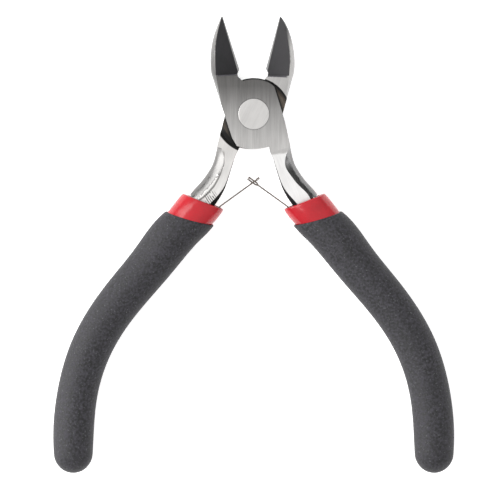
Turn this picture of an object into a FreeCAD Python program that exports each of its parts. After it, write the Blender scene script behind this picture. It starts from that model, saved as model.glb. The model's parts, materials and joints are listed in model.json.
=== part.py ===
import FreeCAD, Part
import os
from math import cos, radians, sin, sqrt

# Sprung flush cut pliers, lying flat and open, in millimetres.
# +X right, +Y towards the jaws, +Z out of the front face along the pivot axis.
# The origin is on the pivot axis, in the flat back face of the joint.
#
# Every half is drawn closed, cutting edge on x = 0, jaw on the -x side and handle on
# the +x side. The back half is the mirror image. Both are then turned open.

V = FreeCAD.Vector

# ---- driving dimensions -------------------------------------------------------------
OPEN_HALF = 16.45        # each half is turned this far from closed, degrees
JOINT_T = 6.4            # thickness of the joint, front face to back face
MID_Z = JOINT_T / 2
LAP_GAP = 0.05           # air between the two lap faces
LAP_R = 8.25             # round ends of each lap
LAP_LOW_R = 7.92         # the end towards the neck is ground a little flatter
LAP_LOW = (224.85, 278.3)     # the lap's round end towards the neck, in degrees
LAP_TOP = (50.0, 92.5)        # and towards the jaw
LAP_HALF_W = 6.38        # half width of the joint
LAP_LEFT = ((-6.45, 4.7), (-6.35, -3.8))      # flat side under the jaw, top and bottom
LAP_RIGHT = ((6.33, -3.8), (LAP_HALF_W, 4.55))
ROOT_SPLIT_X = -4.0      # the rounded side of the jaw root starts here
FOOT_IN_X = -0.85        # inner end of the facet foot, beside the notch
SHOULDER_R = 8.45        # hollow shoulder the other lap turns in
EDGE_GAP = 0.02          # each cutting edge stops this short of the middle plane

RIVET_R = 2.5
RIVET_HEAD_R = 3.56
RIVET_HEAD_H = 1.06
RUN_CLEAR = 0.05         # running clearance of the rivet in the back half

# jaw, measured from the cutting edge
FOOT_Y = 9.55            # foot of the dark facet, at the cutting edge
FOOT_RISE = 0.225        # the foot line climbs this much per mm outwards
FACET_FOOT_Z = 1.85      # height of the facet plane over the cutting edge, at its foot
FACET_TIP_Z = 1.0        # the same at the tip
FACET_SLOPE = 0.786      # climb of the facet per mm outwards
EDGE_LAND = 0.06         # steel left under the cutting edge
EDGE_SLOPE = 4.4         # steep narrow bevel that carries the cutting edge
BACK_RELIEF = 0.03       # the back of the jaw lifts this much per mm towards the tip
TIP_Y = 23.8             # the facet plane is laid out as far as this
TIP_W = 0.42             # the tip is ground off this wide
FOOT_WALL = 0.42         # the wall at the facet foot leans back this far
FOOT_WALL_X = (-0.3, -5.3)    # between these places
# hand-ground differences of the halves: lean of the head, shift of the facet foot, tip,
# and how much of their full width the neck flats have
FRONT_HEAD = (0.95, 0.28, 23.8, 1.0)
BACK_HEAD = (-1.68, -0.28, 23.45, 0.8)

# relief under the cutting edges, on the closed half
NOTCH = ((-0.88, 9.3), (-0.74, 10.2), (0.02, 11.1), (1.0, 11.1), (1.0, 8.8), (-0.62, 8.8))

# jaw slices: cutting edge y, outer side x and y, where the flat facet ends
JAW_SIDE_X = -6.5
JAW_RIM_X = -5.6
JAW_SLICES = (
    (12.6, -6.2, 13.4, -5.05),
    (16.0, -5.2, 16.5, -4.1),
    (19.2, -3.72, 19.5, -2.82),
    (21.8, -1.98, 21.95, -1.45),
)

# neck and tang
NECK_TOP_Y = -9.6        # the ground joint face ends here
NECK_TAPER = 0.055       # fall of the front and back neck flats per mm
# neck slices: inner corner, outer corner, width of the flat, inner bevel
NECK_SLICES = (
    ((1.25, NECK_TOP_Y), (5.97, NECK_TOP_Y), 4.5, 0.05),
    ((1.38, -11.4), (5.83, -11.3), 2.95, 0.06),
    ((1.42, -13.2), (5.8, -13.0), 2.2, 0.08),
    ((1.47, -16.1), (6.2, -15.3), 2.65, 0.1),
    ((1.7, -19.0), (6.98, -17.6), 3.45, 0.4),
)
# at the collar mouth and inside it: along, in and out of the grip axis, inner bevel
NECK_MOUTH = (-1.2, -2.22, 3.75, 0.95)
NECK_END = (1.0, -2.7, 3.6, 1.1)
NECK_FLAT = 4.2          # width of the flat there
BEVEL_STEEP = 1.7        # the inner bevel drops this much per mm across
TANG_IN = -2.7           # tang faces, measured across the handle from the grip axis
TANG_OUT = 3.3
TANG_HALF_Z = 2.2
TANG_CORNER = 1.0
TANG_START = 0.9
TANG_END = 57.0

# grip axis: a slow bend, a straight, a firm bend and a slow bend
AXIS_X, AXIS_Y = 5.2, -22.5
AXIS_HEADING = 27.5      # degrees away from -Y
AXIS_PARTS = (
    (153.0, 4.5),        # radius, turn in degrees
    (None, 18.1),        # straight, length
    (45.5, 33.0),
    (90.0, 7.6),
)

# half width of the sleeve and of the grip along the axis
SLEEVE_A = ((-6.0, 4.2), (-1.5, 4.48), (5.0, 4.82), (14.0, 4.45), (34.0, 4.15), (65.0, 3.75))
FLATNESS = 0.92          # sleeve and grip are a little flatter than wide
SLEEVE_RIM = (-22.85, 0.085, 0.05)    # rim plane: y at x = 0, climb with x, lean with z
SLEEVE_MOUTH = (3.83, 3.3, 1.6)       # half width, half height and floor of the mouth
SLEEVE_ROUND = 0.35
# clearance for the leaf inside the sleeve: at s, room beyond the tang; and at its edges
LEAF_ROOM = ((-4.0, 1.05), (0.0, 1.0), (3.0, 0.85), (8.0, 0.85))
LEAF_SIDE_ROOM = 0.15
GRIP_A = (
    (0.0, 5.12), (8.0, 5.2), (18.0, 5.1), (30.0, 4.88), (42.0, 4.75), (54.0, 4.65), (67.2, 4.5),
)
GRIP_RIM = (-26.95, -0.01, 0.1)
GRIP_ROUND = 0.3
DOME_STEPS = (14, 28, 42, 55, 67, 77, 84)

# leaf springs
LEAF_T = 0.3
LEAF_W = 3.0
LEAF_LEN = 13.8
LEAF_ANGLE = 127.7       # in the closed frame of its own handle, open pose
ROOT_S = (1.0, 7.5)      # clamped root, along the grip axis
HINGE_S = 0.82
TONGUE_W = 1.2
TONGUE_FROM = 9.95
HEAD_FROM = 12.95
HEAD_W = 2.8
SLOT = (9.95, 13.35)
SLOT_W = 1.9
PIN_R = 0.8
PIN_HEAD_R = 1.3
PIN_HEAD_H = 0.35
PIN_DEPTH = 2.4
PIN_S = 4.2


# ---- small helpers ------------------------------------------------------------------
def line(a, b):
    return Part.makeLine(a, b)


def arc(a, b, c):
    return Part.Arc(a, b, c).toShape()


def polar(radius, angle, z=0.0):
    return V(radius * cos(radians(angle)), radius * sin(radians(angle)), z)


def prism(points, z0, z1):
    """Upright prism on a flat outline of (x, y) points."""
    ring = [V(x, y, z0) for x, y in points]
    ring.append(ring[0])
    return Part.Face(Part.makePolygon(ring)).extrude(V(0, 0, z1 - z0))


def loft(wires, ruled=False):
    return Part.makeLoft(wires, True, ruled)


def axis_at(s):
    """Point and heading of the grip axis at the distance s from the collar mouth."""
    x, y, h = AXIS_X, AXIS_Y, radians(AXIS_HEADING)
    if s <= 0:
        return x + s * sin(h), y - s * cos(h), h
    left = s
    for radius, amount in AXIS_PARTS:
        length = amount if radius is None else radius * radians(amount)
        step = min(left, length)
        if radius is None:
            x += step * sin(h)
            y -= step * cos(h)
        else:
            turned = h - step / radius
            x += radius * (cos(turned) - cos(h))
            y += radius * (sin(turned) - sin(h))
            h = turned
        left -= step
    return x + left * sin(h), y - left * cos(h), h


def on_handle(s, u, z):
    """Point at s along the grip axis, u across it (outwards positive), at height z."""
    x, y, h = axis_at(s)
    return V(x + u * cos(h), y + u * sin(h), z)


def about_pivot(thing, angle):
    """Shape or point turned about the pivot axis by an angle in degrees."""
    if isinstance(thing, FreeCAD.Vector):
        return FreeCAD.Rotation(V(0, 0, 1), angle).multVec(thing)
    return thing.rotated(V(0, 0, 0), V(0, 0, 1), angle)


def turned_open(shape):
    return about_pivot(shape, OPEN_HALF)


def mirrored(shape):
    return shape.mirror(V(0, 0, 0), V(1, 0, 0))


def to_right(shape):
    """Front half and right handle: drawn side, turned open."""
    return turned_open(shape)


def to_left(shape):
    """Back half and left handle: the mirror image of the right."""
    return mirrored(turned_open(shape))


# ---- steel halves -------------------------------------------------------------------
def foot_y(x, shift):
    return FOOT_Y + shift - FOOT_RISE * x


def lap_block(lean, shift):
    """Flat block of the joint: lap, jaw root as far as the facet foot, neck root.

    The neck end stays put, so its two corners are turned back by the lean of the head."""
    low_a, low_b = (polar(LAP_R, angle) for angle in LAP_LOW)
    top_a, top_b = (polar(LAP_R, angle) for angle in LAP_TOP)
    low_mid, top_mid = polar(LAP_LOW_R, sum(LAP_LOW) / 2), polar(LAP_R, sum(LAP_TOP) / 2)
    split = V(ROOT_SPLIT_X, foot_y(ROOT_SPLIT_X, shift), 0)
    left = [V(x, y, 0) for x, y in LAP_LEFT]
    right = [V(x, y, 0) for x, y in LAP_RIGHT]
    corners = [split, V(split.x, left[0].y, 0), *left, low_a]
    neck_in, neck_out = (about_pivot(V(x, y, 0), -lean) for x, y in NECK_SLICES[0][:2])
    neck = [low_b, neck_in, neck_out, *right, top_a]
    jaw = [top_b, V(FOOT_IN_X, foot_y(FOOT_IN_X, shift), 0), split]
    edges = [line(a, b) for a, b in zip(corners, corners[1:])]
    edges.append(arc(low_a, low_mid, low_b))
    edges += [line(a, b) for a, b in zip(neck, neck[1:])]
    edges.append(arc(top_a, top_mid, top_b))
    edges += [line(a, b) for a, b in zip(jaw, jaw[1:])]
    return Part.Face(Part.Wire(edges)).extrude(V(0, 0, JOINT_T))


def jaw_root(shift):
    """Outer side of the jaw root, square at the joint and rounded at the facet foot."""
    split, (low_x, low_y) = ROOT_SPLIT_X, LAP_LEFT[0]
    wires = []
    for x_out, x_rim, sloped in ((low_x, -LAP_HALF_W, False), (JAW_SIDE_X, JAW_RIM_X, True)):
        def at(x, z):
            return V(x, foot_y(x, shift) if sloped else low_y, z)
        wires.append(Part.Wire([
            line(at(split, 0), at(split, JOINT_T)),
            line(at(split, JOINT_T), at(x_rim, JOINT_T)),
            arc(at(x_rim, JOINT_T), at(x_out, MID_Z), at(x_rim, 0)),
            line(at(x_rim, 0), at(split, 0)),
        ]))
    return loft(wires, ruled=True)


def back_z(y):
    return BACK_RELIEF * max(0.0, y - FOOT_Y)


def facet_z(x, y):
    fall = (FACET_FOOT_Z - FACET_TIP_Z) / (TIP_Y - FOOT_Y)
    return FACET_FOOT_Z - fall * (y - FOOT_Y) - FACET_SLOPE * x


def jaw_section(y_in, x_out, y_out, x_rim):
    """One slice of the jaw: edge land, edge bevel, flat facet, round side, flat back."""
    def at(x, z):
        return V(x - EDGE_GAP, y_in + (y_out - y_in) * x / x_out, z)

    y_rim = y_in + (y_out - y_in) * x_rim / x_out
    z_edge = back_z(y_in) + EDGE_LAND
    bevel = (facet_z(0, y_in) - z_edge) / (EDGE_SLOPE - FACET_SLOPE)
    y_bevel = y_in - (y_out - y_in) * bevel / x_out
    z_rim, z_back = facet_z(x_rim, y_rim), back_z(y_rim)
    low, edge = at(0, back_z(y_in)), at(0, z_edge)
    top, rim = at(-bevel, facet_z(-bevel, y_bevel)), at(x_rim, z_rim)
    side, foot = at(x_out, (z_rim + z_back) / 2), at(x_rim, z_back)
    edges = [line(low, edge), line(edge, top), line(top, rim), arc(rim, side, foot), line(foot, low)]
    return Part.Wire(edges)


def jaw(shift, tip_y):
    """Jaw from the facet foot to the tip, lofted through slices."""
    first = (foot_y(0, shift), JAW_SIDE_X, foot_y(JAW_SIDE_X, shift), JAW_RIM_X)
    last = (tip_y, -TIP_W, tip_y, -0.7 * TIP_W)
    return loft([jaw_section(*cut) for cut in (first, *JAW_SLICES, last)])


def jaw_notch():
    """Small relief below the cutting edge."""
    return prism(NOTCH, -1, JOINT_T + 1)


def foot_lean(shift):
    """Wedge over the facet's foot, which lays the wall there back a little."""
    wires = []
    for x in FOOT_WALL_X:
        y = foot_y(x, shift)
        low = V(x, y, facet_z(x, y))
        wires.append(Part.makePolygon([low, V(x, y, JOINT_T), V(x, y - FOOT_WALL, JOINT_T), low]))
    return loft(wires, ruled=True)


def neck_section(p_in, p_out, ridge, bevel):
    """One slice of the neck: upright inner side, flats front and back, round outer side."""
    across = p_out - p_in
    width = across.Length
    unit = across * (1 / width)

    def at(u, z):
        p = p_in + unit * u
        return V(p.x, p.y, z)

    def fall(u):
        return NECK_TAPER * max(0.0, NECK_TOP_Y - (p_in + unit * u).y)

    def top(u):
        return JOINT_T - fall(u)

    drop = BEVEL_STEEP * bevel
    side_high, side_low = at(0, top(0) - drop), at(0, fall(0) + drop)
    return Part.Wire([
        line(side_low, side_high),
        line(side_high, at(bevel, top(bevel))),
        line(at(bevel, top(bevel)), at(ridge, top(ridge))),
        arc(at(ridge, top(ridge)), at(width, MID_Z), at(ridge, fall(ridge))),
        line(at(ridge, fall(ridge)), at(bevel, fall(bevel))),
        line(at(bevel, fall(bevel)), side_low),
    ])


def neck(share):
    """Neck from the joint to just inside the collar, with this share of the full flats."""
    slices = []
    for inner, outer, flat, bevel in NECK_SLICES:
        slices.append(neck_section(V(*inner, 0), V(*outer, 0), flat * share, bevel))
    for s, u_in, u_out, bevel in (NECK_MOUTH, NECK_END):
        ends = on_handle(s, u_in, 0), on_handle(s, u_out, 0)
        slices.append(neck_section(*ends, NECK_FLAT * share, bevel))
    return loft(slices)


def tang_section(s):
    """Rounded bar section square to the grip axis."""
    lo, hi, r = TANG_IN, TANG_OUT, TANG_CORNER
    z0, z1 = MID_Z - TANG_HALF_Z, MID_Z + TANG_HALF_Z
    k = r * (1 - sqrt(0.5))

    def at(u, z):
        return on_handle(s, u, z)

    return Part.Wire([
        line(at(lo, z0 + r), at(lo, z1 - r)),
        arc(at(lo, z1 - r), at(lo + k, z1 - k), at(lo + r, z1)),
        line(at(lo + r, z1), at(hi - r, z1)),
        arc(at(hi - r, z1), at(hi - k, z1 - k), at(hi, z1 - r)),
        line(at(hi, z1 - r), at(hi, z0 + r)),
        arc(at(hi, z0 + r), at(hi - k, z0 + k), at(hi - r, z0)),
        line(at(hi - r, z0), at(lo + r, z0)),
        arc(at(lo + r, z0), at(lo + k, z0 + k), at(lo, z0 + r)),
    ])


def tang():
    """Bar that carries the grip, hidden inside the sleeve."""
    count = 9
    stations = [TANG_START + (TANG_END - TANG_START) * i / (count - 1) for i in range(count)]
    return loft([tang_section(s) for s in stations])


def steel_half(lean, shift, tip_y, flat_share):
    """Forged half before the lap is cut and the rivet hole is bored."""
    head = lap_block(lean, shift).fuse(jaw_root(shift)).fuse(jaw(shift, tip_y))
    head = head.cut(jaw_notch()).cut(foot_lean(shift))
    return about_pivot(head, lean).fuse(neck(flat_share)).fuse(tang())


def rivet(grow=0.0):
    """Pivot rivet with a countersunk head in each face; grow widens it all round."""
    shank = RIVET_R + grow
    head = RIVET_HEAD_R + grow
    low = Part.makeCone(head, shank, RIVET_HEAD_H)
    high = Part.makeCone(shank, head, RIVET_HEAD_H, V(0, 0, JOINT_T - RIVET_HEAD_H))
    middle = Part.makeCylinder(shank, JOINT_T - 2 * RIVET_HEAD_H, V(0, 0, RIVET_HEAD_H))
    return low.fuse(middle).fuse(high).removeSplitter()


def lap_pocket(z0, z1):
    return Part.makeCylinder(SHOULDER_R, z1 - z0, V(0, 0, z0))


def pin_hole():
    return on_handle(PIN_S, 0, MID_Z), axis_at(PIN_S)[2]


def across_cylinder(radius, u0, u1):
    """Cylinder lying across the handle at the spring rivet, from u0 to u1."""
    centre, h = pin_hole()
    unit = V(cos(h), sin(h), 0)
    return Part.makeCylinder(radius, u1 - u0, centre + unit * u0, unit)


# ---- springs ------------------------------------------------------------------------
def spring_root():
    """Clamped end of the leaf, lying on the inner side of the tang."""
    wires = []
    count = 4
    for i in range(count):
        s = ROOT_S[0] + (ROOT_S[1] - ROOT_S[0]) * i / (count - 1)
        z0, z1 = MID_Z - LEAF_W / 2, MID_Z + LEAF_W / 2
        corners = ((TANG_IN - LEAF_T, z0), (TANG_IN, z0), (TANG_IN, z1), (TANG_IN - LEAF_T, z1))
        ring = [on_handle(s, u, z) for u, z in corners]
        ring.append(ring[0])
        wires.append(Part.makePolygon(ring))
    return loft(wires).cut(across_cylinder(PIN_R, TANG_IN - 2, TANG_IN + 1))


def leaf_box(a, b, width):
    """Stretch of the leaf from a to b along it, drawn along +X at the origin."""
    return Part.makeBox(b - a, LEAF_T, width, V(a, -LEAF_T / 2, MID_Z - width / 2))


def placed_leaf(shape):
    hinge = on_handle(HINGE_S, TANG_IN - LEAF_T / 2, 0)
    leaf = shape.rotated(V(0, 0, 0), V(0, 0, 1), LEAF_ANGLE)
    return leaf.translated(hinge)


def leaf_barrel():
    return Part.makeCylinder(LEAF_T / 2, LEAF_W, V(0, 0, MID_Z - LEAF_W / 2))


def tongue_leaf():
    """Leaf that ends in a narrow tongue with a T across it."""
    leaf = leaf_barrel().fuse(leaf_box(0, TONGUE_FROM, LEAF_W))
    leaf = leaf.fuse(leaf_box(TONGUE_FROM, HEAD_FROM, TONGUE_W))
    return placed_leaf(leaf.fuse(leaf_box(HEAD_FROM, LEAF_LEN, HEAD_W)))


def slotted_leaf():
    """Leaf that ends in a closed frame around a slot."""
    leaf = leaf_barrel().fuse(leaf_box(0, LEAF_LEN, LEAF_W))
    slot = Part.makeBox(SLOT[1] - SLOT[0], 2, SLOT_W, V(SLOT[0], -1, MID_Z - SLOT_W / 2))
    return placed_leaf(leaf.cut(slot))


def spring_rivet():
    """Little rivet through the root into the tang."""
    shank = across_cylinder(PIN_R, TANG_IN - LEAF_T, TANG_IN + PIN_DEPTH)
    head = across_cylinder(PIN_HEAD_R, TANG_IN - LEAF_T - PIN_HEAD_H, TANG_IN - LEAF_T)
    return shank.fuse(head)


# ---- grips --------------------------------------------------------------------------
def oval(s, a, b):
    """Closed oval square to the grip axis at s."""
    x, y, h = axis_at(s)
    centre = V(x, y, MID_Z)
    along = V(sin(h), -cos(h), 0)
    across = V(cos(h), sin(h), 0)
    if a >= b:
        curve = Part.Ellipse(centre + across * a, centre + along.cross(across) * b, centre)
    else:
        curve = Part.Ellipse(centre + along.cross(across) * b, centre + across * a, centre)
    return Part.Wire(curve.toShape())


def handle_solid(table):
    """Oval bar along the grip axis, closed by a dome."""
    end, a_end = table[-1]
    stations = [(s, a) for s, a in table]
    for step in DOME_STEPS:
        grow = sin(radians(step)) * a_end * 1.05
        stations.append((end + grow, a_end * cos(radians(step))))
    return loft([oval(s, a, a * FLATNESS) for s, a in stations])


def above_plane(rim):
    """Everything on the jaw side of a rim plane."""
    y0, climb, lean = rim
    lo, hi = -30.0, 40.0
    base = []
    for x, z in ((lo, -20), (hi, -20), (hi, 30), (lo, 30)):
        base.append(V(x, y0 + climb * x - lean * (z - MID_Z), z))
    base.append(base[0])
    return Part.Face(Part.makePolygon(base)).extrude(V(0, 60, 0))


def rounded_rim(shape, rim, radius):
    """Round the outer edge where the rim plane cuts the oval."""
    y0, climb, lean = rim
    picked = []
    for edge in shape.Edges:
        on_plane = True
        for p in edge.discretize(5):
            if abs(p.y - (y0 + climb * p.x - lean * (p.z - MID_Z))) > 1e-3:
                on_plane = False
        if on_plane:
            picked.append(edge)
    return shape.makeFillet(radius, picked)


def sleeve_solid():
    sleeve = handle_solid(SLEEVE_A).cut(above_plane(SLEEVE_RIM))
    return rounded_rim(sleeve, SLEEVE_RIM, SLEEVE_ROUND)


def sleeve_hollow():
    """Wide mouth around the neck, and the slot that clears the spring root."""
    a, b, floor = SLEEVE_MOUTH
    mouth = loft([oval(s, a, b) for s in (-6.0, -2.0, floor)])
    wires = []
    half = LEAF_W / 2 + LEAF_SIDE_ROOM
    z0, z1 = MID_Z - half, MID_Z + half
    for s, room in LEAF_ROOM:
        inner, outer = TANG_IN - room, TANG_IN + 0.5
        ring = [on_handle(s, u, z) for u, z in ((inner, z0), (outer, z0), (outer, z1), (inner, z1))]
        ring.append(ring[0])
        wires.append(Part.makePolygon(ring))
    return mouth.fuse(loft(wires))


def grip_solid():
    grip = handle_solid(GRIP_A).cut(above_plane(GRIP_RIM))
    return rounded_rim(grip, GRIP_RIM, GRIP_ROUND)


# ---- assembly -----------------------------------------------------------------------
def save(shape, name):
    solids = shape.Solids
    whole = solids[0] if len(solids) == 1 else shape
    print(name, "solids", len(solids), "valid", whole.isValid(), "volume", round(whole.Volume, 2))
    whole.exportStep("parts/" + name + ".step")


def main():
    os.makedirs("parts", exist_ok=True)
    pin = spring_rivet()
    front_steel = steel_half(*FRONT_HEAD).cut(pin)
    back_steel = steel_half(*BACK_HEAD).cut(pin)
    front = to_right(front_steel).cut(lap_pocket(-1, MID_Z + LAP_GAP / 2)).cut(rivet())
    back = to_left(back_steel).cut(lap_pocket(MID_Z - LAP_GAP / 2, JOINT_T + 1)).cut(rivet(RUN_CLEAR))
    save(front, "front_half")
    save(back, "back_half")
    save(rivet(), "pivot_rivet")

    root = spring_root()
    save(to_right(root), "right_spring_root")
    save(to_left(root), "left_spring_root")
    save(to_right(slotted_leaf()), "right_spring_leaf")
    save(to_left(tongue_leaf()), "left_spring_leaf")
    save(to_right(pin), "right_spring_rivet")
    save(to_left(pin), "left_spring_rivet")

    sleeve_body = sleeve_solid()
    grip = grip_solid().cut(sleeve_body)
    sleeve = sleeve_body.cut(sleeve_hollow()).cut(tang())
    save(to_right(sleeve), "right_inner_sleeve")
    save(to_left(sleeve), "left_inner_sleeve")
    save(to_right(grip), "right_outer_grip")
    save(to_left(grip), "left_outer_grip")


main()
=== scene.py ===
import json
from math import pi, radians

import bmesh
import bpy
from mathutils import Matrix, Vector


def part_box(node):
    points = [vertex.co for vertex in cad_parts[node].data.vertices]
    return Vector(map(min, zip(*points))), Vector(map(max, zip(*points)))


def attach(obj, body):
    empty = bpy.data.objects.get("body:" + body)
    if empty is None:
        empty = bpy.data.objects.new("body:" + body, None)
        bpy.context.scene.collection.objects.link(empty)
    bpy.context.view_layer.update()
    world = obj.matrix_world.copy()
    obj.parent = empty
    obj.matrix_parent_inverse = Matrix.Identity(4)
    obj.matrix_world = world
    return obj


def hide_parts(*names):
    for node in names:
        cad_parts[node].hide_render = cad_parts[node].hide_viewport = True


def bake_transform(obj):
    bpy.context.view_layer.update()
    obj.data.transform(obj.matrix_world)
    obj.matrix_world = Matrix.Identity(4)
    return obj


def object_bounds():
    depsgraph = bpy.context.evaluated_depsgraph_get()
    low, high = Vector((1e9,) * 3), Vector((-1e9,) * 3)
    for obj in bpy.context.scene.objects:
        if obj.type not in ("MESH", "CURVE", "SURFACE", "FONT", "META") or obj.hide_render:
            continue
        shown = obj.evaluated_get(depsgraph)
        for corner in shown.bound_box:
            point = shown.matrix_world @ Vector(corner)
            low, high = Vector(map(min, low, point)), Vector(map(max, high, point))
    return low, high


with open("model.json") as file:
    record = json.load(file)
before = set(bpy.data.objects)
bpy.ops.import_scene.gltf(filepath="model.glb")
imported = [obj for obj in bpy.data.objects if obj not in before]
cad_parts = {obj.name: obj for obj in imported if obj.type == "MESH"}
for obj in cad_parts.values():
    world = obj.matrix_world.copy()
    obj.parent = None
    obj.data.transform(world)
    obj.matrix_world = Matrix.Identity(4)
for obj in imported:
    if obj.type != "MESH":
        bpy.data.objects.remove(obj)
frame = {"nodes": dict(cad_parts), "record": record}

# Sprung flush cut pliers, lying flat and open on a white bench.
# +X right, +Y towards the jaws, +Z out of the front face, in metres.

CAD_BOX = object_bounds()
MM = 0.001

# ---- sizes ----------------------------------------------------------------------------
FRONT_FACE_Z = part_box("front_half")[1][2]
LAP_Z = FRONT_FACE_Z / 2
FRONT_HEAD_TURN = radians(17.4)      # the front half's head, turned from closed
BACK_HEAD_TURN = radians(14.77)      # the back half's head, turned the other way

# where the faces of a closed half meet, on its own drawing
NECK_TOP_Y = -9.6 * MM               # the ground joint face ends here
BLACK_WALL_Y = -14.5 * MM            # the necks' inner sides are dark below this
FACET_FOOT_Y = 8.6 * MM              # nothing above this is joint face
FOOT_WALL_TOP_Y = 11.8 * MM          # and the wall at the facet foot ends below this
FOOT_WALL_LEFT_X = -5.6 * MM
LAP_WALL_LEFT_X = -6.2 * MM
LAP_WALL_R = 9.2 * MM                # the walls round the lap are inside this
FLAT = 0.985                         # a face whose normal has more Z than this lies flat
FACET_LEAN = (0.6, 0.9)              # and one between these is the jaw's sloped facet

# where the finishes change
LAP_R = 8.25 * MM
LAP_HALF_W = 6.38 * MM
SHOULDER_R = 8.45 * MM
RIVET_R = 3.56 * MM
NECK_SHOULDER_Z = (4.7 * MM, 5.5 * MM)   # the necks' round sides turn up towards the flats, and get a painted highlight there
RIDGE_SHADE_Z = 5.3 * MM                   # ragged painted shade lies along the right neck's ridge above this
DARK_REFLECTION_Z = (4.3 * MM, 4.62 * MM)      # a long dark painted reflection on the left neck's round side
GRIND_SHADE_CENTRE = (-19.2 * MM, -9.4 * MM, 0)   # the left neck's line of painted shade is an arc in plan
GRIND_SHADE_R = 12.3 * MM
GRIND_END = (6.0 * MM, -8.95 * MM, 0)    # the joint's grind runs out on the right neck here
GRIND_END_TURN = radians(11)

EASED = 0.07 * MM                    # hand-eased width of a ground edge
RIVET_EASED = 0.12 * MM
RIVET_SHANK_R = 2.5 * MM
RIVET_SINK = 1.06 * MM               # depth of the cone under each head

LEAF_T = 0.3 * MM
LEAF_W = 3.0 * MM
LEAF_EASED = 0.05 * MM
LEAF_TWIST = radians(11)             # the slotted end is a little out of square
LEAF_TWIST_SPAN = (10.9 * MM, 11.5 * MM)
TONGUE_W = 1.2 * MM
TONGUE_FROM = 9.95 * MM
HEAD_FROM = 12.95 * MM
HEAD_W = 2.8 * MM
SLOT = (9.95 * MM, 13.35 * MM)
SLOT_W = 1.9 * MM


# ---- node helpers ---------------------------------------------------------------------
def feed(tree, socket, value):
    """Link a socket into a socket, or set a plain value on it."""
    if isinstance(value, bpy.types.NodeSocket):
        tree.links.new(value, socket)
    else:
        socket.default_value = value


def add(tree, kind, settings=None, **inputs):
    """A node of this kind, with its settings and its named inputs."""
    node = tree.nodes.new("ShaderNode" + kind)
    for key, value in (settings or {}).items():
        setattr(node, key, value)
    for key, value in inputs.items():
        feed(tree, node.inputs[key.replace("_", " ")], value)
    return node


def maths(tree, operation, a, b=0.0):
    """One step of arithmetic on two values."""
    node = add(tree, "Math", {"operation": operation})
    feed(tree, node.inputs[0], a)
    feed(tree, node.inputs[1], b)
    return node.outputs[0]


def all_of(tree, first, *others):
    """A mask that holds only where all of these do."""
    mask = first
    for other in others:
        mask = maths(tree, "MULTIPLY", mask, other)
    return mask


def any_of(tree, a, b):
    """A mask that holds where either of these does."""
    return maths(tree, "MAXIMUM", a, b)


def span(tree, value, low, high, to_low=0.0, to_high=1.0, smooth=False):
    """Map low..high onto to_low..to_high and hold the ends."""
    style = "SMOOTHSTEP" if smooth else "LINEAR"
    node = add(tree, "MapRange", {"interpolation_type": style})
    for socket, number in zip(node.inputs, (value, low, high, to_low, to_high)):
        feed(tree, socket, number)
    return node.outputs[0]


def blend_colours(tree, share, a, b, style="MIX"):
    """Colour a, and b over this share of it."""
    node = add(tree, "Mix", {"data_type": "RGBA", "blend_type": style})
    feed(tree, node.inputs[0], share)
    feed(tree, node.inputs[6], a)
    feed(tree, node.inputs[7], b)
    return node.outputs[2]


def grey(level, warm=0.0):
    """A grey of this linear level; warm tints it towards straw, or towards blue if negative."""
    return (level * (1 + warm), level, level * (1 - warm), 1.0)


def here(tree, centre=(0, 0, 0), turn=0.0):
    """Object coordinates counted from a centre and turned about Z."""
    spot = add(tree, "TexCoord").outputs["Object"]
    place = add(tree, "Mapping", {"vector_type": "TEXTURE"}, Vector=spot)
    place.inputs["Location"].default_value = centre
    place.inputs["Rotation"].default_value = (0, 0, turn)
    return place.outputs["Vector"]


def axis_of(tree, vector, letter):
    """The X, Y or Z of a vector."""
    return add(tree, "SeparateXYZ", Vector=vector).outputs[letter]


def stretched(tree, vector, scale):
    """A vector with each axis multiplied by its own factor."""
    node = add(tree, "VectorMath", {"operation": "MULTIPLY"})
    feed(tree, node.inputs[0], vector)
    feed(tree, node.inputs[1], scale)
    return node.outputs[0]


def length_of(tree, vector):
    """How long a vector is."""
    node = add(tree, "VectorMath", {"operation": "LENGTH"})
    feed(tree, node.inputs[0], vector)
    return node.outputs["Value"]


def plan_distance(tree, centre=(0, 0, 0)):
    """Distance in plan from a centre, which is the pivot axis if none is given."""
    return length_of(tree, stretched(tree, here(tree, centre), (1.0, 1.0, 0.0)))


def new_group(name, inputs, outputs):
    """An empty shader group with named sockets, and its two ends."""
    group = bpy.data.node_groups.new(name, "ShaderNodeTree")
    for label, kind, value in inputs:
        socket = group.interface.new_socket(
            name=label, in_out="INPUT", socket_type="NodeSocket" + kind,
        )
        if value is not None:
            socket.default_value = value
    for label in outputs:
        group.interface.new_socket(name=label, in_out="OUTPUT", socket_type="NodeSocketFloat")
    return group, group.nodes.new("NodeGroupInput"), group.nodes.new("NodeGroupOutput")


def use(tree, group, **inputs):
    """Place a shared group in a material, with its own values."""
    node = tree.nodes.new("ShaderNodeGroup")
    node.node_tree = group
    for key, value in inputs.items():
        feed(tree, node.inputs[key.replace("_", " ")], value)
    return node


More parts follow.
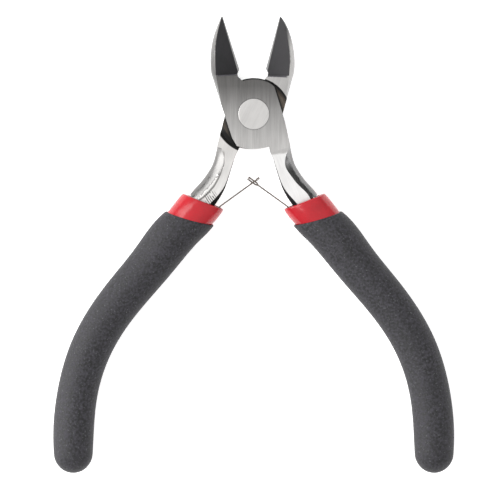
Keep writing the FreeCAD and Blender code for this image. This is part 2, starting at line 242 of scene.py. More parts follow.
# ---- shared effects -------------------------------------------------------------------
def grinding_lines_group():
    """Straight marks left by a belt or a wheel, running along Y of the vector."""
    group, ins, outs = new_group(
        "Grinding Lines",
        (("Vector", "Vector", None), ("Fineness", "Float", 5000.0), ("Length", "Float", 0.04)),
        ("Tone", "Height"),
    )
    along = maths(group, "MULTIPLY", ins.outputs["Fineness"], ins.outputs["Length"])
    stretch = add(group, "CombineXYZ", X=ins.outputs["Fineness"], Y=along, Z=ins.outputs["Fineness"])
    place = stretched(group, ins.outputs["Vector"], stretch.outputs[0])
    fine = add(group, "TexNoise", Vector=place, Scale=1.0, Detail=4.0, Roughness=0.65)
    broad = add(group, "TexNoise", Vector=place, Scale=0.23, Detail=2.0, Roughness=0.5)
    fine_share = maths(group, "MULTIPLY", fine.outputs[0], 0.6)
    broad_share = maths(group, "MULTIPLY", broad.outputs[0], 0.4)
    feed(group, outs.inputs["Tone"], span(group, maths(group, "ADD", fine_share, broad_share), 0.33, 0.67))
    feed(group, outs.inputs["Height"], fine.outputs[0])
    return group


def scratches_group():
    """A few thin nicks along Y of the vector."""
    group, ins, outs = new_group(
        "Scratches",
        (("Vector", "Vector", None), ("Fineness", "Float", 2500.0), ("Amount", "Float", 0.3)),
        ("Mask",),
    )
    drawn = stretched(group, ins.outputs["Vector"], (1.0, 0.09, 1.0))
    lines = add(group, "TexNoise", Vector=drawn, Scale=ins.outputs["Fineness"], Detail=1.0)
    few = add(group, "TexNoise", Vector=ins.outputs["Vector"], Scale=260.0, Detail=2.0)
    gate = span(group, few.outputs[0], 0.45, 0.62)
    level = maths(group, "SUBTRACT", 0.78, maths(group, "MULTIPLY", ins.outputs["Amount"], 0.2))
    over = maths(group, "SUBTRACT", lines.outputs[0], level)
    feed(group, outs.inputs["Mask"], all_of(group, span(group, over, 0.0, 0.05), gate))
    return group


def tone_drift_group():
    """Slow cloudy change of tone from handling."""
    group, ins, outs = new_group(
        "Tone Drift",
        (("Vector", "Vector", None), ("Scale", "Float", 180.0)),
        ("Tone",),
    )
    cloud = add(group, "TexNoise", Vector=ins.outputs["Vector"], Detail=3.0, Roughness=0.55)
    feed(group, cloud.inputs["Scale"], ins.outputs["Scale"])
    feed(group, outs.inputs["Tone"], span(group, cloud.outputs[0], 0.3, 0.7))
    return group


def worn_edge_glint_group():
    """Where an eased edge has been rubbed bright, partly wear and partly a painted highlight, broken up so
    that it isn't a drawn line.
    """
    group, ins, outs = new_group(
        "Worn Edges And Glint",
        (("Vector", "Vector", None), ("Amount", "Float", 0.7)),
        ("Mask",),
    )
    edge = add(group, "Attribute", {"attribute_name": "eased_edge"}).outputs["Fac"]
    breaks = add(group, "TexNoise", Vector=ins.outputs["Vector"], Scale=1500.0, Detail=3.0)
    limit = maths(group, "MULTIPLY", ins.outputs["Amount"], 0.75)
    rubbed = maths(group, "LESS_THAN", breaks.outputs[0], limit)
    feed(group, outs.inputs["Mask"], all_of(group, edge, rubbed))
    return group


def sand_grain_group():
    """Fine sandy grain, as on a textured dip."""
    group, ins, outs = new_group(
        "Sand Grain",
        (("Vector", "Vector", None), ("Scale", "Float", 2600.0)),
        ("Tone", "Height"),
    )
    lumps = add(group, "TexVoronoi", {"feature": "SMOOTH_F1"}, Vector=ins.outputs["Vector"])
    feed(group, lumps.inputs["Scale"], ins.outputs["Scale"])
    fine = add(group, "TexNoise", Vector=ins.outputs["Vector"], Detail=2.0, Roughness=0.5)
    feed(group, fine.inputs["Scale"], maths(group, "MULTIPLY", ins.outputs["Scale"], 0.8))
    round_top = maths(group, "SUBTRACT", 1.0, lumps.outputs["Distance"])
    lump_share = maths(group, "MULTIPLY", round_top, 0.5)
    fine_share = maths(group, "MULTIPLY", fine.outputs[0], 0.5)
    feed(group, outs.inputs["Height"], maths(group, "ADD", lump_share, fine_share))
    feed(group, outs.inputs["Tone"], span(group, fine.outputs[0], 0.38, 0.66))
    return group


LINES = grinding_lines_group()
SCRATCHES = scratches_group()
DRIFT = tone_drift_group()
WORN_GLINT = worn_edge_glint_group()
SAND = sand_grain_group()


# ---- finishes -------------------------------------------------------------------------
def new_finish(name, metallic, roughness):
    """A material with one Principled shader, its tree and the shader."""
    finish = bpy.data.materials.new(name)
    finish.use_nodes = True
    tree = finish.node_tree
    shader = tree.nodes["Principled BSDF"]
    shader.inputs["Metallic"].default_value = metallic
    shader.inputs["Roughness"].default_value = roughness
    return finish, tree, shader


def raise_surface(tree, shader, height, depth):
    """Bump of this depth, in metres, into the shader's normal."""
    bump = add(tree, "Bump", Height=height, Strength=1.0, Distance=depth)
    feed(tree, shader.inputs["Normal"], bump.outputs["Normal"])


def ground_steel(name, colour, streak, roughness, turn=0.0, fineness=5200.0, length=0.035, nicks=0.25):
    """Bare steel from the belt. colour is a function of the tree that gives the clean tone."""
    finish, tree, shader = new_finish(name, 0.95, roughness)
    spot = here(tree, turn=turn)
    lines = use(tree, LINES, Vector=spot, Fineness=fineness, Length=length)
    drift = use(tree, DRIFT, Vector=spot).outputs["Tone"]
    nick = use(tree, SCRATCHES, Vector=spot, Amount=nicks).outputs["Mask"]
    rub = use(tree, WORN_GLINT, Vector=spot, Amount=0.6).outputs["Mask"]
    tone = maths(tree, "ADD", span(tree, lines.outputs["Tone"], 0, 1, 1 - streak, 1 + streak),
                 span(tree, drift, 0, 1, -0.04, 0.04))
    shade = add(tree, "CombineColor", Red=tone, Green=tone, Blue=tone).outputs[0]
    base = blend_colours(tree, 1.0, colour(tree), shade, "MULTIPLY")
    base = blend_colours(tree, maths(tree, "MULTIPLY", nick, 0.5), base, grey(0.2, 0.02))
    # Rubbed edges, partly wear and partly a painted highlight.
    base = blend_colours(tree, maths(tree, "MULTIPLY", rub, 0.6), base, grey(0.85))
    feed(tree, shader.inputs["Base Color"], base)
    rough = span(tree, lines.outputs["Tone"], 0, 1, roughness - 0.07, roughness + 0.07)
    feed(tree, shader.inputs["Roughness"], rough)
    raise_surface(tree, shader, lines.outputs["Height"], 0.004 * MM)
    return finish


def plain_tone(level, warm=0.0):
    """A colour function with one tone all over."""
    def colour(tree):
        return grey(level, warm)
    return colour


def tone_along(tree, low, high, stops):
    """A grey that changes along Y, from low to high, through (share, level, warm) stops."""
    y = axis_of(tree, here(tree), "Y")
    ramp = add(tree, "ValToRGB", Fac=span(tree, y, low, high))
    elements = ramp.color_ramp.elements
    for element, (share, level, warm) in zip(elements, (stops[0], stops[-1])):
        element.position = share
        element.color = grey(level, warm)
    for share, level, warm in stops[1:-1]:
        elements.new(share).color = grey(level, warm)
    return ramp.outputs["Color"]


def joint_face_painted_shade(tree):
    """The joint face darkens towards the jaws, a painted reflection, with a line of painted shadow just
    inside the front lap's top arc and a dark seam round the rivet.
    """
    clean = tone_along(tree, -9 * MM, 8.5 * MM, (
        (0.0, 0.47, 0.02), (0.2, 0.44, 0.02), (0.57, 0.285, 0.02),
        (0.88, 0.128, 0.025), (1.0, 0.115, 0.03),
    ))
    radius = plan_distance(tree)
    spot = here(tree)
    between_jaws = maths(tree, "GREATER_THAN", axis_of(tree, spot, "X"), -2.5 * MM)
    upper = maths(tree, "GREATER_THAN", axis_of(tree, spot, "Y"), 4 * MM)
    # Painted shadow: a dark line just inside the front lap's top arc, between the jaws.
    rim = span(tree, radius, LAP_R - 0.42 * MM, LAP_R - 0.2 * MM, smooth=True)
    rim = all_of(tree, rim, between_jaws, upper)
    seat = span(tree, radius, RIVET_R + 0.2 * MM, RIVET_R + 0.05 * MM, 0.0, 0.3, smooth=True)
    dark = any_of(tree, maths(tree, "MULTIPLY", rim, 0.9), seat)
    return blend_colours(tree, dark, clean, grey(0.02))


def shoulder_highlight(tree):
    """Painted highlight: how far a neck's round outer side has turned up towards the flat."""
    spot = here(tree)
    neck = maths(tree, "LESS_THAN", axis_of(tree, spot, "Y"), -8 * MM)
    high = span(tree, axis_of(tree, spot, "Z"), *NECK_SHOULDER_Z, smooth=True)
    return all_of(tree, high, neck)


def front_side_tone(tree):
    """The front half's outer side is dark beside the joint, with a painted highlight where the neck turns
    up and ragged painted shade along the neck's ridge.
    """
    clean = tone_along(tree, -24 * MM, 24 * MM, (
        (0.0, 0.15, 0.01), (0.35, 0.15, 0.01), (0.6, 0.075, 0.02),
        (0.66, 0.085, 0.02), (0.77, 0.14, 0.02), (0.9, 0.25, 0.02),
    ))
    # Painted highlight where the neck's round side turns up towards the flat.
    clean = blend_colours(tree, shoulder_highlight(tree), clean, grey(0.22))
    spot = here(tree)
    # Ragged painted shade along the neck's ridge; the scale mask below carries it.
    rag = add(tree, "TexNoise", Vector=spot, Scale=900.0, Detail=3.0, Roughness=0.6).outputs[0]
    rag = span(tree, rag, 0, 1, -0.5 * MM, 0.5 * MM)
    height = maths(tree, "ADD", axis_of(tree, spot, "Z"), rag)
    scale = span(tree, height, RIDGE_SHADE_Z - 0.1 * MM, RIDGE_SHADE_Z + 0.1 * MM)
    scale = all_of(tree, scale, span(tree, axis_of(tree, spot, "Y"), -11 * MM, -13 * MM))
    return blend_colours(tree, maths(tree, "MULTIPLY", scale, 0.85), clean, grey(0.03))


def back_side_tone(tree):
    """The back half's outer side is bright and blackened over the tip, with a painted highlight where the
    neck turns up and a long dark painted reflection on the neck.
    """
    clean = tone_along(tree, -24 * MM, 24 * MM, (
        (0.0, 0.15, 0.02), (0.35, 0.15, 0.02), (0.6, 0.3, 0.02),
        (0.82, 0.3, 0.02), (0.91, 0.05, 0.0), (1.0, 0.03, 0.0),
    ))
    spot = here(tree)
    z = axis_of(tree, spot, "Z")
    # A long dark painted reflection along the neck's round side.
    low, high = DARK_REFLECTION_Z
    dark_reflection = all_of(
        tree,
        span(tree, z, low, low + 0.12 * MM),
        span(tree, z, high, high - 0.12 * MM),
        span(tree, axis_of(tree, spot, "Y"), -16.5 * MM, -18 * MM),
    )
    # Painted highlight where the neck's round side turns up towards the flat.
    clean = blend_colours(tree, shoulder_highlight(tree), clean, grey(0.21, 0.02))
    return blend_colours(tree, maths(tree, "MULTIPLY", dark_reflection, 0.8), clean, grey(0.05))


def grind_step_shade(tree):
    """Thin line of painted shade along the left neck, at the step where one pass of the grinder stopped.
    """
    wander = add(tree, "TexNoise", Vector=here(tree), Scale=600.0, Detail=2.0).outputs[0]
    wander = span(tree, wander, 0, 1, -0.12 * MM, 0.12 * MM)
    distance = maths(tree, "ADD", plan_distance(tree, GRIND_SHADE_CENTRE), wander)
    off = maths(tree, "ABSOLUTE", maths(tree, "SUBTRACT", distance, GRIND_SHADE_R))
    line = span(tree, off, 0.3 * MM, 0.1 * MM, smooth=True)
    return all_of(tree, line, span(tree, axis_of(tree, here(tree), "Y"), -8.2 * MM, -9.4 * MM))


def strike_marks(tree):
    """Short dark marks across the left neck, where it was struck in the vice."""
    hinge = joint_spot("left_leaf_flex")
    centre = (hinge.x - 0.05 * MM, hinge.y + 3.5 * MM, FRONT_FACE_Z)
    patch = span(tree, length_of(tree, here(tree, centre)), 2.1 * MM, 1.1 * MM, smooth=True)
    marks = add(
        tree, "TexWave", {"wave_type": "BANDS", "bands_direction": "X"},
        Vector=here(tree, turn=radians(33)), Scale=640.0, Distortion=1.6, Detail=3.0, Detail_Scale=1.2,
    )
    marks = span(tree, marks.outputs["Fac"], 0.4, 0.15)
    breaks = add(tree, "TexNoise", Vector=here(tree), Scale=900.0, Detail=2.0)
    return all_of(tree, marks, patch, span(tree, breaks.outputs[0], 0.38, 0.46))


def back_neck_tone(tree):
    """Bright flat with a line of painted shade at the grind step and the strike marks, and painted shadow
    beside the shoulder.
    """
    clean = tone_along(tree, -22 * MM, -10 * MM, (
        (0.0, 0.78, 0.02), (0.25, 0.72, 0.02), (1.0, 0.6, 0.025),
    ))
    clean = blend_colours(tree, grind_step_shade(tree), clean, grey(0.22, 0.03))
    # Painted shadow beside the shoulder.
    band = span(tree, plan_distance(tree), SHOULDER_R + 0.75 * MM, SHOULDER_R + 0.6 * MM)
    dark = any_of(tree, maths(tree, "MULTIPLY", strike_marks(tree), 0.92), band)
    return blend_colours(tree, dark, clean, grey(0.015))


def front_neck_tone(tree):
    """The joint's grind runs out softly on the neck, and the neck's own grind is brighter."""
    spot = here(tree, GRIND_END, GRIND_END_TURN)
    edge = add(tree, "TexNoise", Vector=here(tree), Scale=700.0, Detail=2.0).outputs[0]
    edge = span(tree, edge, 0, 1, -0.5 * MM, 0.5 * MM)
    y = maths(tree, "ADD", axis_of(tree, spot, "Y"), edge)
    lower = span(tree, y, 0.25 * MM, -0.35 * MM, smooth=True)
    # Above the run-out the neck keeps the joint face's painted reflection.
    return blend_colours(tree, lower, joint_face_painted_shade(tree), grey(0.8, 0.01))


def lap_recess_finish():
    """Worn lap face: brownish, with curved rub marks, darker towards the bottom, and painted shade by the
    shoulder and under the other lap.
    """
    finish, tree, shader = new_finish("lap_recess", 0.8, 0.42)
    spot = here(tree)
    radius = plan_distance(tree)
    rings = add(tree, "TexNoise", {"noise_dimensions": "1D"}, W=radius, Scale=5200.0, Detail=3.0)
    drift = use(tree, DRIFT, Vector=spot, Scale=420.0).outputs["Tone"]
    rubbed = span(tree, rings.outputs[0], 0.35, 0.65)
    tone = blend_colours(tree, rubbed, (0.075, 0.06, 0.048, 1), (0.24, 0.2, 0.165, 1))
    tone = blend_colours(tree, maths(tree, "MULTIPLY", drift, 0.5), tone, (0.055, 0.05, 0.045, 1))
    # Darker towards the bottom, where the painted shade also reaches further.
    low = span(tree, axis_of(tree, spot, "Y"), 1 * MM, -1 * MM)
    tone = blend_colours(tree, maths(tree, "MULTIPLY", low, 0.55), tone, (0.03, 0.029, 0.026, 1))
    reach = maths(tree, "ADD", radius, maths(tree, "MULTIPLY", low, 0.45 * MM))
    # Painted shade by the shoulder and under the other lap.
    rim = span(tree, reach, SHOULDER_R - 0.7 * MM, SHOULDER_R - 0.2 * MM, smooth=True)
    across = maths(tree, "ABSOLUTE", axis_of(tree, here(tree, turn=FRONT_HEAD_TURN), "X"))
    under = span(tree, across, LAP_HALF_W + 0.55 * MM, LAP_HALF_W + 0.15 * MM, smooth=True)
    painted_shade = any_of(tree, rim, under)
    feed(tree, shader.inputs["Base Color"], blend_colours(tree, painted_shade, tone, grey(0.006)))
    feed(tree, shader.inputs["Metallic"], span(tree, painted_shade, 0, 1, 0.8, 0.0))
    raise_surface(tree, shader, rings.outputs[0], 0.004 * MM)
    return finish


def blacked_finish(name, level, roughness, worn, turn=0.0):
    """Blackened steel, matt, with the grinding just showing, and rubbed edges that are partly wear and
    partly a painted highlight.
    """
    finish, tree, shader = new_finish(name, 0.0, roughness)
    spot = here(tree, turn=turn)
    lines = use(tree, LINES, Vector=spot, Fineness=3800.0, Length=0.06)
    drift = use(tree, DRIFT, Vector=spot, Scale=260.0).outputs["Tone"]
    rub = use(tree, WORN_GLINT, Vector=spot, Amount=worn).outputs["Mask"]
    violet = (level * 1.42, level * 1.28, level * 1.5, 1.0)
    tone = blend_colours(tree, lines.outputs["Tone"], grey(level * 0.7, -0.03), violet)
    tone = blend_colours(tree, maths(tree, "MULTIPLY", drift, 0.4), tone, grey(level * 0.6))
    # Rubbed edges, partly wear and partly a painted highlight.
    feed(tree, shader.inputs["Base Color"], blend_colours(tree, rub, tone, grey(0.3)))
    feed(tree, shader.inputs["Metallic"], maths(tree, "MULTIPLY", rub, 0.9))
    shader.inputs["Specular IOR Level"].default_value = 0.3
    rough = span(tree, lines.outputs["Tone"], 0, 1, roughness - 0.08, roughness + 0.08)
    feed(tree, shader.inputs["Roughness"], rough)
    raise_surface(tree, shader, lines.outputs["Height"], 0.006 * MM)
    return finish


def spring_steel_finish():
    """Blue-brown tempered strip, drawn lengthwise."""
    finish, tree, shader = new_finish("spring_steel", 0.95, 0.3)
    spot = here(tree)
    lines = use(tree, LINES, Vector=spot, Fineness=3600.0, Length=0.3)
    drift = use(tree, DRIFT, Vector=spot, Scale=500.0).outputs["Tone"]
    rub = use(tree, WORN_GLINT, Vector=spot, Amount=0.6).outputs["Mask"]
    tone = blend_colours(tree, lines.outputs["Tone"], (0.1, 0.085, 0.075, 1), (0.24, 0.21, 0.19, 1))
    tone = blend_colours(tree, maths(tree, "MULTIPLY", drift, 0.4), tone, (0.14, 0.1, 0.07, 1))
    # Rubbed edges, partly wear and partly a painted highlight.
    feed(tree, shader.inputs["Base Color"], blend_colours(tree, rub, tone, grey(0.6)))
    raise_surface(tree, shader, lines.outputs["Height"], 0.004 * MM)
    return finish


def glossy_vinyl_finish():
    """Red dipped vinyl: glossy, slightly wavy where it ran."""
    finish, tree, shader = new_finish("red_vinyl", 0.0, 0.2)
    spot = here(tree)
    runs = add(tree, "TexNoise", Vector=spot, Scale=330.0, Detail=2.0, Roughness=0.45)
    pores = add(tree, "TexNoise", Vector=spot, Scale=3200.0, Detail=2.0)
    drift = use(tree, DRIFT, Vector=spot, Scale=240.0).outputs["Tone"]
    tone = blend_colours(tree, drift, (0.36, 0.003, 0.01, 1), (0.46, 0.006, 0.015, 1))
    feed(tree, shader.inputs["Base Color"], tone)
    feed(tree, shader.inputs["Roughness"], span(tree, drift, 0, 1, 0.16, 0.26))
    height = maths(tree, "ADD", runs.outputs[0], maths(tree, "MULTIPLY", pores.outputs[0], 0.02))
    raise_surface(tree, shader, height, 0.12 * MM)
    return finish


def sandy_vinyl_finish():
    """Black dip with a fine sandy grain and a few pale specks."""
    finish, tree, shader = new_finish("black_vinyl", 0.0, 0.7)
    spot = here(tree)
    grain = use(tree, SAND, Vector=spot, Scale=2300.0)
    drift = use(tree, DRIFT, Vector=spot, Scale=130.0).outputs["Tone"]
    specks = add(tree, "TexNoise", Vector=spot, Scale=3000.0, Detail=1.0)
    hollow, crest = (0.001, 0.001, 0.0015, 1), (0.044, 0.041, 0.051, 1)
    tone = blend_colours(tree, grain.outputs["Tone"], hollow, crest)
    tone = blend_colours(tree, maths(tree, "MULTIPLY", drift, 0.35), tone, (0.012, 0.0115, 0.014, 1))
    bright = span(tree, specks.outputs[0], 0.66, 0.74)
    feed(tree, shader.inputs["Base Color"], blend_colours(tree, bright, tone, grey(0.08, -0.03)))
    feed(tree, shader.inputs["Roughness"], span(tree, grain.outputs["Tone"], 0, 1, 0.55, 0.8))
    raise_surface(tree, shader, grain.outputs["Height"], 0.12 * MM)
    return finish


# ---- mesh helpers ---------------------------------------------------------------------
def joint_spot(name):
    """Where a joint's axis passes, in metres."""
    for joint in frame["record"]["behaviour"]["joints"]:
        if joint["name"] == name:
            return Vector(joint["pos_m"])


def make_piece(name, bm, finishes):
    """Turn a bmesh into an object at the origin, smooth, with its finishes."""
    mesh = bpy.data.meshes.new(name)
    bm.to_mesh(mesh)
    bm.free()
    piece = bpy.data.objects.new(name, mesh)
    bpy.context.scene.collection.objects.link(piece)
    for finish in finishes:
        mesh.materials.append(finish)
    mesh.shade_smooth()
    return piece


def merged_copy(node):
    """A CAD node's mesh with its triangles joined and its flat faces whole."""
    bm = bmesh.new()
    bm.from_mesh(frame["nodes"][node].data)
    bmesh.ops.remove_doubles(bm, verts=bm.verts, dist=0.002 * MM)
    bmesh.ops.dissolve_degenerate(bm, dist=0.001 * MM, edges=bm.edges)
    bmesh.ops.dissolve_limit(
        bm, angle_limit=radians(0.4), verts=bm.verts, edges=bm.edges, delimit={"NORMAL"},
    )
    return bm


def ease_edges(bm, edges, width):
    """Round these edges by width and mark the new faces as eased."""
    flag = bm.faces.layers.float.get("eased_edge") or bm.faces.layers.float.new("eased_edge")
    result = bmesh.ops.bevel(
        bm, geom=edges, offset=width, offset_type="OFFSET", affect="EDGES", segments=2, profile=0.5,
        material=-1, clamp_overlap=True, loop_slide=True,
    )
    for face in result["faces"]:
        face[flag] = 1.0


def sharp_edges(bm, least):
    """The edges whose two faces meet at more than this angle."""
    return [e for e in bm.edges if len(e.link_faces) == 2 and e.calc_face_angle() > least]


def even_normals(piece):
    """Flat faces keep their own direction, and eased edges blend between them."""
    weighted = piece.modifiers.new("even_normals", "WEIGHTED_NORMAL")
    weighted.weight = 60
    weighted.keep_sharp = True


# ---- steel halves ---------------------------------------------------------------------
STEEL_SLOTS = (
    "joint_face", "neck_flat", "jaw_base", "polished_side", "black_wall",
    "facet", "honed", "foot_wall", "lap",
)


def closed_view(vector, front):
    """A point or direction of one half, seen as on the closed front half's drawing."""
    turn = FRONT_HEAD_TURN if front else BACK_HEAD_TURN
    flat = Vector(vector) if front else Vector((-vector[0], vector[1], vector[2]))
    return Matrix.Rotation(-turn, 3, "Z") @ flat


def steel_slot(face, front):
    """Which finish a face of a half gets, by where it is and where it looks."""
    at = closed_view(face.calc_center_median(), front)
    out = closed_view(face.normal, front)
    radius = Vector((at.x, at.y)).length
    if at.y > FACET_FOOT_Y and out.x > 0.5 and FACET_LEAN[0] < out.z < FACET_LEAN[1]:
        return "facet"
    if at.y > FACET_FOOT_Y and out.x > 0.85 and out.z > -0.3:
        return "honed"
    if abs(at.z - LAP_Z) < 0.1 * MM and abs(out.z) > 0.9:
        return "lap"
    if FACET_FOOT_Y < at.y < FOOT_WALL_TOP_Y and out.y > 0.75 and at.x > FOOT_WALL_LEFT_X:
        return "foot_wall"
    if abs(out.z) > FLAT:
        if at.y < NECK_TOP_Y:
            return "neck_flat"
        if front or out.z < 0:
            return "joint_face"
        return "jaw_base" if at.y > 0 else "neck_flat"
    if at.y < NECK_TOP_Y and out.x < -0.35:
        return "black_wall" if at.y < BLACK_WALL_Y else "neck_flat"
    # Round the lap the walls take the black finish: a dark wall that stands in for shade in the gap beside
    # the other lap.
    if abs(out.z) < 0.3 and radius < LAP_WALL_R and at.x > LAP_WALL_LEFT_X and at.y > NECK_TOP_Y:
        faces_pivot = out.x * at.x + out.y * at.y < 0
        return "black_wall" if faces_pivot or at.y > 0 else "joint_face"
    return "polished_side"


def steel_half(node, name, body, finishes, front):
    """One forged half: a merged copy with eased edges and a finish by face."""
    bm = merged_copy(node)
    ease_edges(bm, sharp_edges(bm, radians(24)), EASED)
    bm.normal_update()
    for face in bm.faces:
        face.material_index = STEEL_SLOTS.index(steel_slot(face, front))
    bmesh.ops.triangulate(bm, faces=[f for f in bm.faces if len(f.verts) > 4])
    piece = make_piece(name, bm, finishes)
    even_normals(piece)
    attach(piece, body)
    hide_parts(node)
    return piece


def steel_halves():
    """Both halves, each with its own neck and side finish and the rest shared."""
    turn = radians(-20)
    joint_face = ground_steel("joint_face", joint_face_painted_shade, 0.16, 0.36)
    jaw_base = ground_steel("jaw_base", plain_tone(0.42, 0.02), 0.12, 0.36, turn=turn)
    honed = ground_steel("honed_edge", plain_tone(0.075), 0.1, 0.3)
    foot_wall = blacked_finish("foot_wall", 0.09, 0.6, 0.2)
    # The black walls round the lap are painted shade for the gap beside the other lap.
    wall = blacked_finish("black_wall", 0.012, 0.6, 0.3)
    facet = blacked_finish("blacked_facet", 0.02, 0.6, 0.5, turn=radians(-12))
    lap = lap_recess_finish()
    for node, name, body, neck_tone, side_tone, front in (
        ("front_half", "front_forging", "front_body", front_neck_tone, front_side_tone, True),
        ("back_half", "back_forging", "back_body", back_neck_tone, back_side_tone, False),
    ):
        neck = ground_steel(name + "_neck", neck_tone, 0.07, 0.36, turn=-turn if front else turn)
        polished = ground_steel(name + "_side", side_tone, 0.1, 0.28, nicks=0.1)
        finishes = (joint_face, neck, jaw_base, polished, wall, facet, honed, foot_wall, lap)
        steel_half(node, name, body, finishes, front)


# ---- pivot rivet ----------------------------------------------------------------------
def pivot_rivet():
    """Rivet spun from its half outline, with a fine eased rim on each head."""
    low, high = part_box("pivot_rivet")
    head, top, base = high[0], high[2], low[2]
    outline = (
        (0, top), (head - RIVET_EASED, top), (head, top - RIVET_EASED / 2),
        (RIVET_SHANK_R, top - RIVET_SINK), (RIVET_SHANK_R, base + RIVET_SINK),
        (head, base + RIVET_EASED / 2), (head - RIVET_EASED, base), (0, base),
    )
    bm = bmesh.new()
    points = [bm.verts.new((r, 0, z)) for r, z in outline]
    edges = [bm.edges.new(pair) for pair in zip(points, points[1:])]
    bmesh.ops.spin(
        bm, geom=points + edges, axis=(0, 0, 1), cent=(0, 0, 0), angle=2 * pi, steps=96, use_merge=True,
    )
    bmesh.ops.remove_doubles(bm, verts=bm.verts, dist=0.001 * MM)
    bmesh.ops.recalc_face_normals(bm, faces=bm.faces)
    for edge in bm.edges:
        if len(edge.link_faces) == 2 and edge.calc_face_angle() > radians(20):
            edge.smooth = False
    finish = ground_steel(
        "rivet_face", plain_tone(0.55, 0.02), 0.08, 0.4, turn=radians(-28), fineness=2600.0, length=0.08,
    )
    piece = make_piece("rivet", bm, (finish,))
    even_normals(piece)
    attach(piece, "front_body")
    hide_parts("pivot_rivet")


# ---- leaf springs ---------------------------------------------------------------------
def far_point(node, spot):
    """The middle of a CAD strip's far end, seen from a spot."""
    corners = [v.co for v in frame["nodes"][node].data.vertices]
    reach = max((c.xy - spot.xy).length for c in corners)
    end = [c for c in corners if (c.xy - spot.xy).length > reach - 0.2 * MM]
    middle = sum(end, Vector()) / len(end)
    return Vector((middle.x, middle.y, spot.z))


def leaf_line(side):
    """The middle line of a strip: its hinge, the leaf's direction, and stations from root to tip."""
    hinge = joint_spot(side + "_leaf_flex")
    tip = far_point(side + "_spring_leaf", hinge)
    root = far_point(side + "_spring_root", hinge)
    out = (tip - hinge).normalized()
    twist_from, twist_to = LEAF_TWIST_SPAN
    cuts = [0.5 * MM, 1.5 * MM, 3 * MM, 5 * MM, 7 * MM, 9 * MM, SLOT[0]]
    cuts += [twist_from, (twist_from + twist_to) / 2, twist_to, 12.4 * MM, HEAD_FROM, SLOT[1]]
    stations = [root.lerp(hinge, share) for share in (0.0, 0.35, 0.7, 0.92)]
    return hinge, out, stations + [hinge + out * cut for cut in cuts] + [tip]


def strip_on_edge(stations):
    """A strip through the stations, in rows that suit both the tongue and the slot."""
    half_rows = (LEAF_W / 2, HEAD_W / 2, SLOT_W / 2, TONGUE_W / 2)
    rows = [-half for half in half_rows] + list(reversed(half_rows))
    bm = bmesh.new()
    column = [bm.verts.new(stations[0] + Vector((0, 0, row))) for row in rows]
    line = [bm.edges.new(pair) for pair in zip(column, column[1:])]
    for last, station in zip(stations, stations[1:]):
        grown = bmesh.ops.extrude_edge_only(bm, edges=line)["geom"]
        moved = [g for g in grown if isinstance(g, bmesh.types.BMVert)]
        line = [g for g in grown if isinstance(g, bmesh.types.BMEdge)]
        bmesh.ops.translate(bm, verts=moved, vec=station - last)
    return bm


def cut_free_end(bm, hinge, out, tongue):
    """Leave a tongue with a T at the free end, or open a slot in it."""
    unwanted = []
    for face in bm.faces:
        at = face.calc_center_median()
        along, off = (at - hinge).dot(out), abs(at.z - hinge.z)
        if tongue:
            beside = TONGUE_FROM < along < HEAD_FROM and off > TONGUE_W / 2
            corner = along > HEAD_FROM and off > HEAD_W / 2
            if beside or corner:
                unwanted.append(face)
        elif SLOT[0] < along < SLOT[1] and off < SLOT_W / 2:
            unwanted.append(face)
    bmesh.ops.delete(bm, geom=unwanted, context="FACES")


def twist_free_end(bm, hinge, out, full_twist):
    """Turn the free end about the leaf's own line, from nothing to the full twist."""
    twist_from, twist_to = LEAF_TWIST_SPAN
    for vert in bm.verts:
        along = (vert.co - hinge).dot(out)
        share = min(1.0, max(0.0, (along - twist_from) / (twist_to - twist_from)))
        turn = Matrix.Rotation(full_twist * share, 4, out)
        vert.co = Matrix.Translation(hinge) @ turn @ (vert.co - hinge)


def leaf_spring(side, finish, tongue):
    """One bent strip: the clamped root, and the leaf with its tongue and T, or its slot."""
    hinge, out, stations = leaf_line(side)
    bm = strip_on_edge(stations)
    cut_free_end(bm, hinge, out, tongue)
    twist_free_end(bm, hinge, out, -LEAF_TWIST / 2 if tongue else LEAF_TWIST)
    bmesh.ops.recalc_face_normals(bm, faces=bm.faces)
    piece = make_piece(side + "_leaf_spring", bm, (finish,))
    wall = piece.modifiers.new("strip", "SOLIDIFY")
    wall.thickness = LEAF_T
    wall.offset = 0.0
    ease = piece.modifiers.new("eased", "BEVEL")
    ease.width = LEAF_EASED
    ease.segments = 2
    ease.limit_method = "ANGLE"
    ease.angle_limit = radians(40)
    even_normals(piece)
    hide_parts(side + "_spring_root", side + "_spring_leaf")
    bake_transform(piece)


def leaf_springs():
    """Both springs, the right one slotted and the left one with the tongue."""
    finish = spring_steel_finish()
    leaf_spring("right", finish, tongue=False)
    leaf_spring("left", finish, tongue=True)


# ---- stage ----------------------------------------------------------------------------
def bench():
    """White bench top under the grips."""
    bm = bmesh.new()
    bmesh.ops.create_grid(bm, x_segments=1, y_segments=1, size=3.0)
    bmesh.ops.translate(bm, verts=bm.verts, vec=(0, 0, CAD_BOX[0][2] - 0.01 * MM))
    finish, tree, shader = new_finish("white_bench", 0.0, 0.8)
    shader.inputs["Base Color"].default_value = (0.93, 0.93, 0.93, 1)
    # The bench top glows a little: painted light that washes out its shadows.
    shader.inputs["Emission Color"].default_value = (1, 1, 1, 1)
    shader.inputs["Emission Strength"].default_value = 0.6
    floor = make_piece("bench_top", bm, (finish,))


def soft_box(name, place, size, power):
    """Square area light that looks at the joint."""
    light = bpy.data.lights.new(name, "AREA")
    light.shape = "RECTANGLE"
    light.size, light.size_y = size
    light.energy = power
    lamp = bpy.data.objects.new(name, light)
    bpy.context.scene.collection.objects.link(lamp)
    lamp.location = place
    aim = Vector((0, -0.03, 0)) - Vector(place)
    lamp.rotation_euler = aim.to_track_quat("-Z", "Y").to_euler()


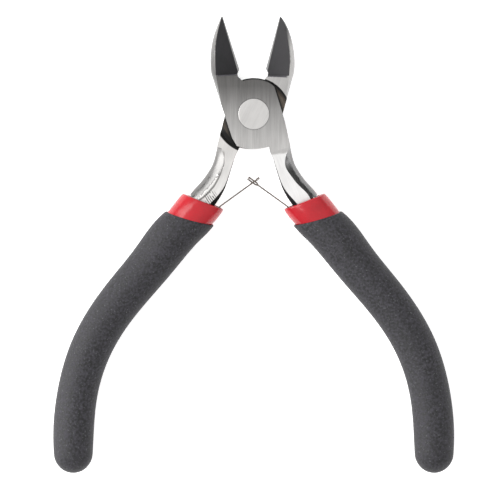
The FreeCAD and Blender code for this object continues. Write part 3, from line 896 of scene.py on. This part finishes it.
def studio():
    """Pale tent: bright overhead, greyer towards the horizon."""
    world = bpy.data.worlds.new("tent")
    bpy.context.scene.world = world
    world.use_nodes = True
    tree = world.node_tree
    sky = tree.nodes["Background"]
    up = axis_of(tree, add(tree, "TexCoord").outputs["Generated"], "Z")
    ramp = add(tree, "ValToRGB", Fac=up)
    stops = ramp.color_ramp.elements
    stops[0].position, stops[0].color = 0.0, grey(0.5)
    stops[1].position, stops[1].color = 0.9, grey(1.0)
    seen = add(tree, "LightPath").outputs["Is Camera Ray"]
    feed(tree, sky.inputs["Color"], blend_colours(tree, seen, ramp.outputs["Color"], grey(1.0)))
    sky.inputs["Strength"].default_value = 1.0
    soft_box("left_soft_box", (-0.62, 0.05, 0.36), (0.6, 1.0), 7.5)
    soft_box("right_strip", (0.7, 0.1, 0.12), (0.1, 0.9), 0.35)


def camera():
    """Straight down, square to the joint, from far enough to flatten the view."""
    lens, sensor, across = 250.0, 36.0, 115.0 * MM
    middle = (Vector(CAD_BOX[0]) + Vector(CAD_BOX[1])) / 2
    view = bpy.data.cameras.new("camera")
    view.lens = lens
    view.sensor_width = sensor
    view.clip_start = 0.01
    view.clip_end = 20.0
    eye = bpy.data.objects.new("camera", view)
    bpy.context.scene.collection.objects.link(eye)
    eye.location = (middle.x - 0.85 * MM, middle.y - 1.3 * MM, LAP_Z + across * lens / sensor)
    bpy.context.scene.camera = eye


# ---- assembly -------------------------------------------------------------------------
def finish_nodes():
    """Better finishes on the CAD pieces that keep their own shape."""
    red, black = glossy_vinyl_finish(), sandy_vinyl_finish()
    pin = ground_steel("pin_steel", plain_tone(0.6), 0.06, 0.35)
    for side in ("left", "right"):
        for node, finish in (("inner_sleeve", red), ("outer_grip", black), ("spring_rivet", pin)):
            frame["nodes"][side + "_" + node].material_slots[0].material = finish


camera()
studio()
bench()
steel_halves()
pivot_rivet()
leaf_springs()
finish_nodes()

bpy.context.scene.view_settings.view_transform = "Standard"
bpy.context.scene.view_settings.look = "None"
